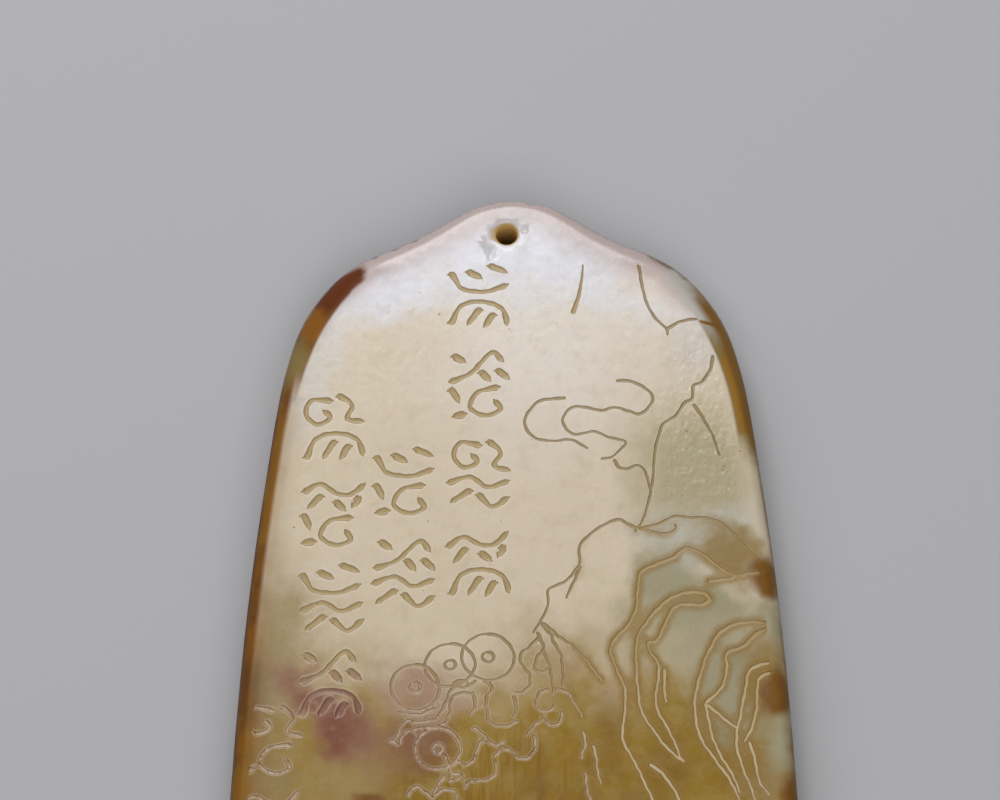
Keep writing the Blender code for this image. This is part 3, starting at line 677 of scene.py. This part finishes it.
bore_wall = np.ones((len(bore_rings), 1))
bore_wall[[0, -1]] = 0.0
keep("brush_nearness", FARTHEST, FARTHEST, brush_nearness, FARTHEST)
keep("line_nearness", FARTHEST, FARTHEST, line_nearness, FARTHEST)
keep("broken", at_within=spall_share(within))
keep("bore_wall", at_bore=bore_wall)
keep("inward", (np.array(insets) / rim_width - 1.0) * RIM_WIDTH,
     edge_distance(mouth, outline) - rim_reach(mouth), edge_distance(within, outline) - rim_reach(within),
     edge_distance(back_points, outline) - RIM_WIDTH)

# the flat map of the skin: the face, with the rim and girth folded out round it, then the back and the bore
MAP_SIDE = 0.122
MAP_MARGIN = 0.001
MAP_GAP = 0.003
BACK_MAP_SCALE = 0.62
BORE_MAP_FOOT = 0.095
BORE_MAP_STEP = (0.00018, 0.0011)
gaps = np.linalg.norm(np.diff(np.array(rings), axis=0), axis=2)
folded_out = np.vstack([np.zeros((1, OUTLINE_SIDES)), np.cumsum(gaps, axis=0)])
ring_places = (rings[0][None, :, :2] + outward[None] * folded_out[..., None]).reshape(-1, 2)
places = np.vstack([ring_places, corners[first_bore:, :2]])
face_map = places - places[:first_bore].min(axis=0) + MAP_MARGIN
back_start = (np.ptp(places[:first_bore, 0]) + MAP_GAP, MAP_MARGIN)
back_map = (corners[:, :2] * (-1, 1) - blank_low[:2]) * BACK_MAP_SCALE + back_start
bore_step, bore_side = np.divmod(np.arange(len(bore_bands)), HOLE_SIDES)
bore_across = np.column_stack([bore_side, bore_side + 1, bore_side + 1, bore_side])[:, ::-1].ravel()
bore_down = np.column_stack([bore_step, bore_step, bore_step + 1, bore_step + 1])[:, ::-1].ravel()
bore_start = (face_map[:first_bore, 0].max() + MAP_MARGIN + MAP_GAP, BORE_MAP_FOOT)
bore_map = np.column_stack([bore_across, bore_down]) * BORE_MAP_STEP + bore_start
skin_map = np.vstack([face_map[rim_bands.ravel()], bore_map, face_map[face_triangles.ravel()],
                      back_map[back_triangles.ravel()]]) / MAP_SIDE
skin.uv_layers.new(name="skin_map").uv.foreach_set("vector", skin_map.astype(np.float32).ravel())


# The stone
# Old nephrite: pale cream turning to olive down the tablet, a white cap whose bluish white is partly the
# stone's own and partly a painted sheen of the softbox, grey-green and bluish clouds, and the pebble's
# russet skin left along the rim. It is polished to a wet gloss and lets a little light in.
CREAM = (0.615, 0.520, 0.378, 1.0)
WARM_CREAM = (0.645, 0.545, 0.412, 1.0)
PALE_CREAM = (0.700, 0.630, 0.545, 1.0)
OLIVE = (0.285, 0.165, 0.014, 1.0)
GREEN_OLIVE = (0.315, 0.205, 0.032, 1.0)
DEEP_OLIVE = (0.230, 0.125, 0.012, 1.0)
GREY_OLIVE = (0.335, 0.250, 0.115, 1.0)
PALE_OLIVE = (0.330, 0.225, 0.075, 1.0)
WHITE_CAP_AND_SHEEN = (0.675, 0.668, 0.705, 1.0)
MILKY = (0.600, 0.550, 0.480, 1.0)
PINK_AND_EDGE_SHADE = (0.480, 0.385, 0.360, 1.0)
PINK_EDGE_SHADE = (0.280, 0.205, 0.200, 1.0)
GREY_GREEN = (0.420, 0.360, 0.220, 1.0)
GREY = (0.490, 0.460, 0.370, 1.0)
BLUISH = (0.340, 0.305, 0.190, 1.0)
AMBER_STAIN = (0.270, 0.155, 0.026, 1.0)
SOFT_BROWN = (0.290, 0.200, 0.075, 1.0)
BROWN = (0.180, 0.078, 0.010, 1.0)
RUSSET = (0.115, 0.024, 0.001, 1.0)
ORANGE = (0.230, 0.085, 0.005, 1.0)
TAN_SKIN = (0.220, 0.155, 0.050, 1.0)
OCHRE_SKIN = (0.210, 0.100, 0.010, 1.0)
AMBER_SEAM = (0.290, 0.140, 0.018, 1.0)
BROWN_SKIN = (0.130, 0.050, 0.007, 1.0)
DARK_SKIN_AND_EDGE_SHADE = (0.055, 0.017, 0.002, 1.0)
GREY_SKIN_AND_BEVEL_SHADE = (0.470, 0.440, 0.400, 1.0)
PURPLE = (0.200, 0.064, 0.034, 1.0)
DULL_PINK = (0.375, 0.240, 0.160, 1.0)
RED_BROWN = (0.230, 0.105, 0.050, 1.0)
GROOVE_FLOOR = (0.385, 0.270, 0.100, 1.0)
GROOVE_WALL_OCHRE_AND_SHADE = (0.250, 0.165, 0.045, 1.0)
WORN_FLOOR_AND_GLINT = (0.450, 0.325, 0.220, 1.0)
ROCK_FLOOR_AND_GLINT = (0.530, 0.420, 0.240, 1.0)
STAINED_GROOVE = (0.200, 0.070, 0.035, 1.0)
BROKEN_GREY = (0.470, 0.465, 0.445, 1.0)
BORE_OCHRE_AND_GLOW = (0.620, 0.420, 0.160, 1.0)
SPECK = (0.250, 0.170, 0.080, 1.0)

stone = bpy.data.materials.new("polished_nephrite")
stone.use_nodes = True
stone_nodes, stone_links = stone.node_tree.nodes, stone.node_tree.links
polish = stone_nodes["Principled BSDF"]
place = stone_nodes.new("ShaderNodeTexCoord").outputs["Object"]


def node(kind, *wires, **settings):
    """A node with its settings, and wires of (input, value or output to join)."""
    made = stone_nodes.new(kind)
    for name, value in settings.items():
        setattr(made, name, value)
    for socket, value in wires:
        if isinstance(value, bpy.types.NodeSocket):
            stone_links.new(value, made.inputs[socket])
        else:
            made.inputs[socket].default_value = value
    return made


def grain(scale, detail=3.0, stretch=None, roughness=0.5):
    """Noise over the stone, its scale in patches to the metre, drawn out along an axis by a stretch."""
    start = place
    if stretch is not None:
        start = node("ShaderNodeMapping", ("Vector", place), ("Scale", stretch)).outputs[0]
    return node("ShaderNodeTexNoise", ("Vector", start), ("Scale", scale), ("Detail", detail),
                ("Roughness", roughness))


def fade(value, low, high):
    """Nought below low and one above high, with a soft way between; low may be the greater."""
    return node("ShaderNodeMapRange", ("Value", value), ("From Min", low), ("From Max", high),
                interpolation_type="SMOOTHSTEP").outputs[0]


def below(down, first, last):
    """Share that grows from nought to one between two distances down the tablet, in grid squares."""
    return fade(down, tip_y - first * square_down, tip_y - last * square_down)


def beyond(across, first, last):
    """Share that grows from nought to one between two distances out from the axis, in grid squares."""
    return fade(across, first * square_across, last * square_across)


def times(share, *others):
    """Product of shares."""
    for other in others:
        share = node("ShaderNodeMath", (0, share), (1, other), operation="MULTIPLY").outputs[0]
    return share


def either(share, *others):
    """The greatest of shares."""
    for other in others:
        share = node("ShaderNodeMath", (0, share), (1, other), operation="MAXIMUM").outputs[0]
    return share


def between(share, low, high):
    """A number that goes evenly from low to high as a share goes from nought to one."""
    return node("ShaderNodeMix", (0, share), (2, low), (3, high)).outputs[0]


def axes(spot):
    """X, Y and Z of a place, each a number of its own."""
    return node("ShaderNodeSeparateXYZ", ("Vector", spot)).outputs


def shifted(by, size):
    """The place on the stone, shifted by a noise colour less a half, times a size for X and one for Y."""
    way = node("ShaderNodeVectorMath", (0, by), (1, (0.5, 0.5, 0.5)), operation="SUBTRACT").outputs[0]
    return node("ShaderNodeVectorMath", (0, way), (1, (*size, 0.0)), (2, place),
                operation="MULTIPLY_ADD").outputs[0]


ragged_noise = grain(260.0, 4.0).outputs["Color"]
ragged_place = shifted(ragged_noise, (0.007, 0.007))
crisp_place = shifted(ragged_noise, (0.003, 0.003))


def patch(across, down, half_width, half_height, turn=0.0, soft=0.6, start=ragged_place):
    """Share of an oval patch with a soft ragged edge: the distance of the shifted place from its middle,
    counted in its own half sizes."""
    middle = on_tablet((across, down))
    local = node("ShaderNodeMapping", ("Vector", start), ("Location", (middle[0], middle[1], 0.0)),
                 ("Rotation", (0.0, 0.0, math.radians(turn))),
                 ("Scale", (half_width * square_across, half_height * square_down, 1.0)),
                 vector_type="TEXTURE")
    away = node("ShaderNodeVectorMath", (0, local.outputs[0]), operation="LENGTH").outputs["Value"]
    return fade(away, 1.0 + soft, 1.0 - soft)


def lay(under, share, colour):
    """A colour laid over what is under it, by a share."""
    return node("ShaderNodeMix", (0, share), (6, under), (7, colour), data_type="RGBA").outputs[2]


def kept(name):
    """A number kept at the skin's corners."""
    return node("ShaderNodeAttribute", attribute_name=name).outputs["Fac"]


# wide clouds, mottling, and where a spot is: how far down with a long waver, across and down almost crisply
cloudy = grain(90.0, 5.0, roughness=0.6).outputs["Fac"]
mottle = grain(520.0, 4.0, roughness=0.65).outputs["Fac"]
wavering_y = axes(shifted(ragged_noise, (0.010, 0.014)))[1]
crisp_x, crisp_y = axes(crisp_place)[:2]

# the stone itself, from the widest clouds to the smallest spots
colour = lay(CREAM, fade(cloudy, 0.35, 0.70), WARM_CREAM)
colour = lay(colour, patch(3.0, 18.0, 9.0, 9.0, 0, 0.8), PALE_CREAM)
olive = lay(lay(OLIVE, fade(mottle, 0.30, 0.72), GREEN_OLIVE), fade(cloudy, 0.48, 0.68), DEEP_OLIVE)
colour = lay(colour, below(wavering_y, 41.0, 58.5), olive)
for tint, clouds in (
    (CREAM, [(-8.5, 47.5, 7.0, 5.5, 0, 0.7)]),
    (GREY_OLIVE, [(-24.0, 49.5, 3.4, 8.0, 0, 0.8)]),
    (PALE_OLIVE, [(-17.5, 63.5, 4.5, 3.6, 0, 0.8)]),
    (GREY_GREEN, [(18.0, 30.0, 6.0, 6.5, 0, 0.7), (15.0, 47.0, 5.0, 4.5, 0, 0.7)]),
    (GREY, [(17.5, 37.5, 4.5, 3.0, -20, 0.7), (21.0, 35.0, 4.0, 3.5, 0, 0.7)]),
    (GREY_GREEN, [(19.4, 32.0, 3.6, 2.4, 0, 0.8)]),
    (BLUISH, [(22.0, 53.0, 3.4, 6.0, 10, 0.7), (20.5, 44.5, 4.5, 2.4, 0, 0.7),
              (26.3, 45.5, 1.6, 3.4, 0, 0.6), (27.0, 58.5, 1.5, 3.6, 0, 0.6),
              (15.5, 42.0, 3.0, 3.6, 30, 0.7)]),
    (MILKY, [(-20.5, 19.0, 2.2, 7.0, -14, 0.8), (19.0, 16.8, 2.6, 3.0, 20, 0.8)]),
    (PALE_CREAM, [(6.0, 12.5, 9.0, 4.5, 0, 0.8)]),
    # the white cap: partly the stone's own white, partly a painted bluish sheen where the crowned face
    # mirrors the softbox
    (WHITE_CAP_AND_SHEEN, [(0.0, 4.5, 16.0, 6.5, 0, 0.5), (13.0, 8.5, 8.0, 4.6, -22, 0.5),
             (-13.5, 9.6, 6.0, 4.2, 28, 0.7)]),
    (PALE_CREAM, [(14.6, 10.4, 4.0, 2.4, -20, 0.8)]),
    (DULL_PINK, [(-9.2, 53.6, 4.0, 3.2, 0, 0.7), (-18.2, 56.0, 2.2, 5.8, 50, 0.9)]),
    (RED_BROWN, [(-9.4, 58.6, 3.0, 2.4, 0, 0.8)]),
    (SOFT_BROWN, [(22.3, 38.8, 4.0, 2.2, -30, 0.6), (25.0, 51.5, 2.2, 3.8, 0, 0.6),
                  (25.5, 63.0, 2.3, 3.0, 0, 0.6), (-24.4, 62.4, 2.2, 3.6, 0, 0.8)]),
):
    for cloud in clouds:
        colour = lay(colour, patch(*cloud), tint)
purple_share = either(patch(-18.3, 56.0, 1.9, 5.6, 50, 0.7), patch(-17.2, 58.2, 2.8, 2.3, 30, 0.7))
colour = lay(colour, times(purple_share, fade(mottle, 0.14, 0.56)), PURPLE)

# ochre soaked in beside the lines of the rocks, and dark ochre streaks under the tree
brush_near, line_near = kept("brush_nearness"), kept("line_nearness")
either_near = node("ShaderNodeMath", (0, brush_near), (1, line_near), operation="MINIMUM").outputs[0]
rocks = patch(17.0, 53.0, 12.0, 17.0, 0, 0.3)
colour = lay(colour, times(fade(line_near, 4.2, 0.9), rocks, 0.80), AMBER_STAIN)
streaks = grain(1.0, 3.0, stretch=(2600.0, 190.0, 190.0), roughness=0.6).outputs["Fac"]
under_tree = patch(-1.5, 64.5, 8.5, 6.5, 0, 0.6)
colour = lay(colour, times(fade(streaks, 0.46, 0.62), under_tree, 0.6), OCHRE_SKIN)
for spot in ((25.7, 41.3, 1.7, 1.9, 15, 0.4), (26.4, 53.3, 1.5, 2.1, 0, 0.4),
             (28.2, 63.8, 1.5, 2.3, 0, 0.4), (-14.2, 64.5, 1.6, 0.9, 0, 0.5)):
    colour = lay(colour, patch(*spot, start=crisp_place), BROWN)
colour = lay(colour, times(fade(mottle, 0.42, 0.78), 0.22), SOFT_BROWN)

# the pink breath along the top edge: partly the stone's own pink, partly painted shade that darkens the
# rim's top edge where it turns away from the lights, darkest at the girth; a mauve patch at the right and a
# brown spot of skin
inward = kept("inward")
top_share = below(wavering_y, 15.0, 10.0)
colour = lay(colour, times(fade(inward, 0.0034, -0.0010), top_share), PINK_AND_EDGE_SHADE)
colour = lay(colour, times(patch(12.0, 5.4, 4.5, 1.8, -26, 0.8), 0.7), PINK_AND_EDGE_SHADE)
colour = lay(colour, times(fade(inward, -0.0009, -0.0016), top_share), PINK_EDGE_SHADE)
colour = lay(colour, times(patch(15.2, 7.0, 2.4, 1.0, -32, 0.5), fade(inward, -0.0005, -0.0012)), BROWN_SKIN)

# the pebble's skin along the sides: crisp on the left shoulder's bevel and soaking in lower down, its outer
# edge darkened in blotches partly by painted shade; grey on the right shoulder's bevel, partly painted shade
# where the bevel faces away from the lights, and amber along its seam below
on_rim = fade(inward, 0.0005, 0.0001)
left_edge = fade(inward, 0.0003, -0.0006)
flanks = below(crisp_y, 7.2, 8.8)
left_flank = times(flanks, beyond(crisp_x, -14.8, -16.0))
right_flank = times(flanks, beyond(crisp_x, 15.0, 16.5))
on_shoulder = times(on_rim, below(crisp_y, 24.0, 19.0))
soaked = times(fade(inward, 0.0032, -0.0012), below(wavering_y, 42.0, 54.0), 0.9)
tinged = times(fade(inward, 0.0026, -0.0008), below(crisp_y, 20.0, 26.0), 0.40)
blotches = fade(grain(150.0, 4.0, roughness=0.65).outputs["Fac"], 0.42, 0.58)
left_skin_and_shade = lay(OCHRE_SKIN, fade(cloudy, 0.42, 0.54), BROWN_SKIN)
left_skin_and_shade = lay(left_skin_and_shade, times(blotches, 0.7), ORANGE)
# dark skin in blotches toward the girth, partly the skin's own and partly painted shade on the edge turned
# from the lights
left_skin_and_shade = lay(left_skin_and_shade, times(fade(inward, -0.0010, -0.0017), blotches), DARK_SKIN_AND_EDGE_SHADE)
left_skin_and_shade = lay(left_skin_and_shade, patch(-18.2, 10.2, 1.9, 3.8, -38, 0.3, crisp_place), RUSSET)
left_skin_and_shade = lay(left_skin_and_shade, patch(-20.6, 14.2, 1.5, 2.0, -30, 0.4, crisp_place), ORANGE)
left_skin_and_shade = lay(left_skin_and_shade, patch(-22.6, 18.2, 1.4, 2.6, -15, 0.6, crisp_place), TAN_SKIN)
colour = lay(colour, times(either(on_shoulder, left_edge, soaked, tinged), left_flank), left_skin_and_shade)
# the right bevel's grey: partly the skin's own grey, partly painted shade where the bevel faces away from
# the lights
right_skin_and_shade = lay(TAN_SKIN, patch(18.4, 10.6, 2.6, 6.5, 42, 0.4), GREY_SKIN_AND_BEVEL_SHADE)
right_skin_and_shade = lay(right_skin_and_shade, patch(20.6, 14.2, 1.8, 0.22, -6, 0.4, place), OCHRE_SKIN)
right_shoulder = patch(21.2, 16.5, 4.0, 11.5, 18, 0.3)
colour = lay(colour, times(on_rim, right_shoulder, right_flank), right_skin_and_shade)
right_edge = either(times(fade(inward, -0.0001, -0.0009), patch(22.8, 18.5, 3.6, 10.5, 18, 0.3)),
                    times(fade(inward, -0.0010, -0.0016), blotches))
colour = lay(colour, times(right_edge, right_flank), OCHRE_SKIN)
seam = times(fade(inward, 0.0002, -0.0001), fade(inward, -0.0007, -0.0003))
colour = lay(colour, times(seam, patch(23.5, 22.3, 1.6, 5.6, 16, 0.2)), AMBER_SEAM)

# ochre rubbed into the carving, redder inside the purple stain, its walls darkened by painted shade; lower
# down it is worn pale and the floors are lightened by painted glints, with a painted pale highlight along
# the lips of every cut
lip_highlight = times(fade(either_near, 0.95, 1.15), fade(either_near, 2.0, 1.2))
colour = lay(colour, times(lip_highlight, between(rocks, 0.22, 0.02)), PALE_CREAM)
stain = patch(-17.4, 55.6, 4.6, 4.6, 30, 0.5)
worn_and_glinting = below(wavering_y, 47.0, 58.0)
wall_ochre_and_shade = lay(lay(GROOVE_WALL_OCHRE_AND_SHADE, worn_and_glinting, OCHRE_SKIN), stain, STAINED_GROOVE)
worn_floor_and_glint = lay(WORN_FLOOR_AND_GLINT, rocks, ROCK_FLOOR_AND_GLINT)
floor_ochre_and_glint = lay(lay(GROOVE_FLOOR, worn_and_glinting, worn_floor_and_glint), stain, STAINED_GROOVE)
patchy = either(fade(grain(2600.0, 2.0).outputs["Fac"], 0.32, 0.54), rocks)
colour = lay(colour, times(fade(either_near, 1.02, 0.85), between(worn_and_glinting, 0.85, 0.55)), wall_ochre_and_shade)
on_floor = either(fade(brush_near, 0.78, 0.58), times(fade(line_near, 0.78, 0.50), either(worn_and_glinting, rocks)))
colour = lay(colour, times(on_floor, between(worn_and_glinting, 0.85, times(patchy, 0.9))), floor_ochre_and_glint)
broken = kept("broken")
colour = lay(colour, times(broken, 0.9), BROKEN_GREY)
# the bore's wall: ochre, brightened as a painted glow of light coming through the stone
colour = lay(colour, kept("bore_wall"), BORE_OCHRE_AND_GLOW)
specks = fade(grain(1900.0, 1.0).outputs["Fac"], 0.78, 0.82)
colour = lay(colour, specks, SPECK)
stone_links.new(colour, polish.inputs["Base Color"])

# matt in the breaks and round the upper rim of the flanks, a little less so in the cuts, glossy elsewhere
FINEST_GLOSS = 0.22
PLAINEST_GLOSS = 0.32
CUT_ROUGHNESS = 0.40
MATT_ROUGHNESS = 0.55
STONE_IOR = 1.61
GLOW_SHARE = 0.30
GLOW_TINTS = (1.0, 0.8, 0.45)
GLOW_DEPTH = 0.0012
gloss = node("ShaderNodeMapRange", ("Value", mottle), ("From Min", 0.3), ("From Max", 0.7),
             ("To Min", FINEST_GLOSS), ("To Max", PLAINEST_GLOSS)).outputs[0]
in_cut = between(fade(either_near, 1.1, 0.9), gloss, CUT_ROUGHNESS)
upper_rim = times(fade(inward, 0.0014, 0.0002), flanks, fade(axes(place)[2], 0.0050, 0.0056))
stone_links.new(between(either(upper_rim, broken), in_cut, MATT_ROUGHNESS), polish.inputs["Roughness"])
stone_links.new(between(upper_rim, 0.5, 0.12), polish.inputs["Specular IOR Level"])
polish.inputs["IOR"].default_value = STONE_IOR
polish.inputs["Subsurface Weight"].default_value = GLOW_SHARE
polish.inputs["Subsurface Radius"].default_value = GLOW_TINTS
polish.inputs["Subsurface Scale"].default_value = GLOW_DEPTH

# hollows left by the grinding, deepest by the cliff, and fine polishing scratches down the tablet
HOLLOW_DEPTH = 0.00022
SCRATCH_DEPTH = 0.000018
hollows = grain(1300.0, 2.0, stretch=(1.0, 0.7, 1.0)).outputs["Fac"]
hollowed = between(patch(20.0, 25.5, 5.0, 9.0, 0, 0.6), 0.12, 0.55)
hollow_bump = node("ShaderNodeBump", ("Strength", hollowed), ("Distance", HOLLOW_DEPTH),
                   ("Height", hollows)).outputs[0]
scratches = grain(1.0, 2.0, stretch=(5200.0, 160.0, 160.0), roughness=0.7).outputs["Fac"]
scratch_bump = node("ShaderNodeBump", ("Strength", 0.5), ("Distance", SCRATCH_DEPTH),
                    ("Height", scratches), ("Normal", hollow_bump)).outputs[0]
stone_links.new(scratch_bump, polish.inputs["Normal"])

skin.materials.append(stone)
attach(pendant, "root")
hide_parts("jade_pendant")


# The floor it lies on, the studio lights and the camera
# Pale paper under the pendant, a big softbox behind it, whose mirror image in the crowned face whitens the
# cap, a small one at the left that glints in the cuts, one in front that lights the hole, a dim pale room.
FLOOR_REACH = 3.0
PAPER_GREY = (0.42, 0.42, 0.43, 1.0)
PAPER_ROUGHNESS = 0.9

floor_mesh = bpy.data.meshes.new("studio_floor")
floor_corners = [(FLOOR_REACH * x, FLOOR_REACH * y, 0.0) for x, y in ((-1, -1), (1, -1), (1, 1), (-1, 1))]
floor_mesh.from_pydata(floor_corners, [], [(0, 1, 2, 3)])
studio_floor = bpy.data.objects.new("studio_floor", floor_mesh)
bpy.context.scene.collection.objects.link(studio_floor)
paper = bpy.data.materials.new("studio_paper")
paper.use_nodes = True
paper_finish = paper.node_tree.nodes["Principled BSDF"]
paper_finish.inputs["Base Color"].default_value = PAPER_GREY
paper_finish.inputs["Roughness"].default_value = PAPER_ROUGHNESS
floor_mesh.materials.append(paper)

CAMERA_TILT = math.radians(18.0)
CAMERA_LENS = 150.0
FILM_WIDTH = 36.0
CAMERA_DISTANCE = 0.427
AIM = Vector((-0.00139, 0.02731, 0.0078))

camera_data = bpy.data.cameras.new("camera")
camera_data.lens = CAMERA_LENS
camera_data.sensor_width = FILM_WIDTH
camera_data.sensor_fit = "HORIZONTAL"
camera = bpy.data.objects.new("camera", camera_data)
camera.location = AIM + CAMERA_DISTANCE * Vector((0.0, -math.sin(CAMERA_TILT), math.cos(CAMERA_TILT)))
camera.rotation_euler = (CAMERA_TILT, 0.0, 0.0)
bpy.context.scene.collection.objects.link(camera)
bpy.context.scene.camera = camera

LIGHTS_AIM = Vector((0.0, 0.02, 0.0))
ROOM_TINT = (0.85, 0.87, 0.9, 1.0)
ROOM_STRENGTH = 0.13


def softbox(name, spot, size, power, tint=(1.0, 1.0, 1.0)):
    """An oblong studio light whose -Z points from its spot at the pendant."""
    light = bpy.data.lights.new(name, "AREA")
    light.shape = "RECTANGLE"
    light.size, light.size_y = size
    light.energy = power
    light.color = tint
    lamp = bpy.data.objects.new(name, light)
    lamp.location = spot
    lamp.rotation_euler = (LIGHTS_AIM - Vector(spot)).to_track_quat("-Z", "Y").to_euler()
    bpy.context.scene.collection.objects.link(lamp)


softbox("back_softbox", spot=(-0.10, 0.41, 0.45), size=(0.42, 0.34), power=2.5, tint=(0.98, 0.98, 1.0))
softbox("side_softbox", spot=(-0.42, 0.20, 0.45), size=(0.22, 0.22), power=0.4)
softbox("front_softbox", spot=(0.08, -0.35, 0.55), size=(0.50, 0.50), power=2.15)
bpy.context.scene.view_settings.view_transform = "Standard"
world = bpy.data.worlds.new("studio")
world.use_nodes = True
backdrop = world.node_tree.nodes["Background"]
backdrop.inputs["Color"].default_value = ROOM_TINT
backdrop.inputs["Strength"].default_value = ROOM_STRENGTH
bpy.context.scene.world = world
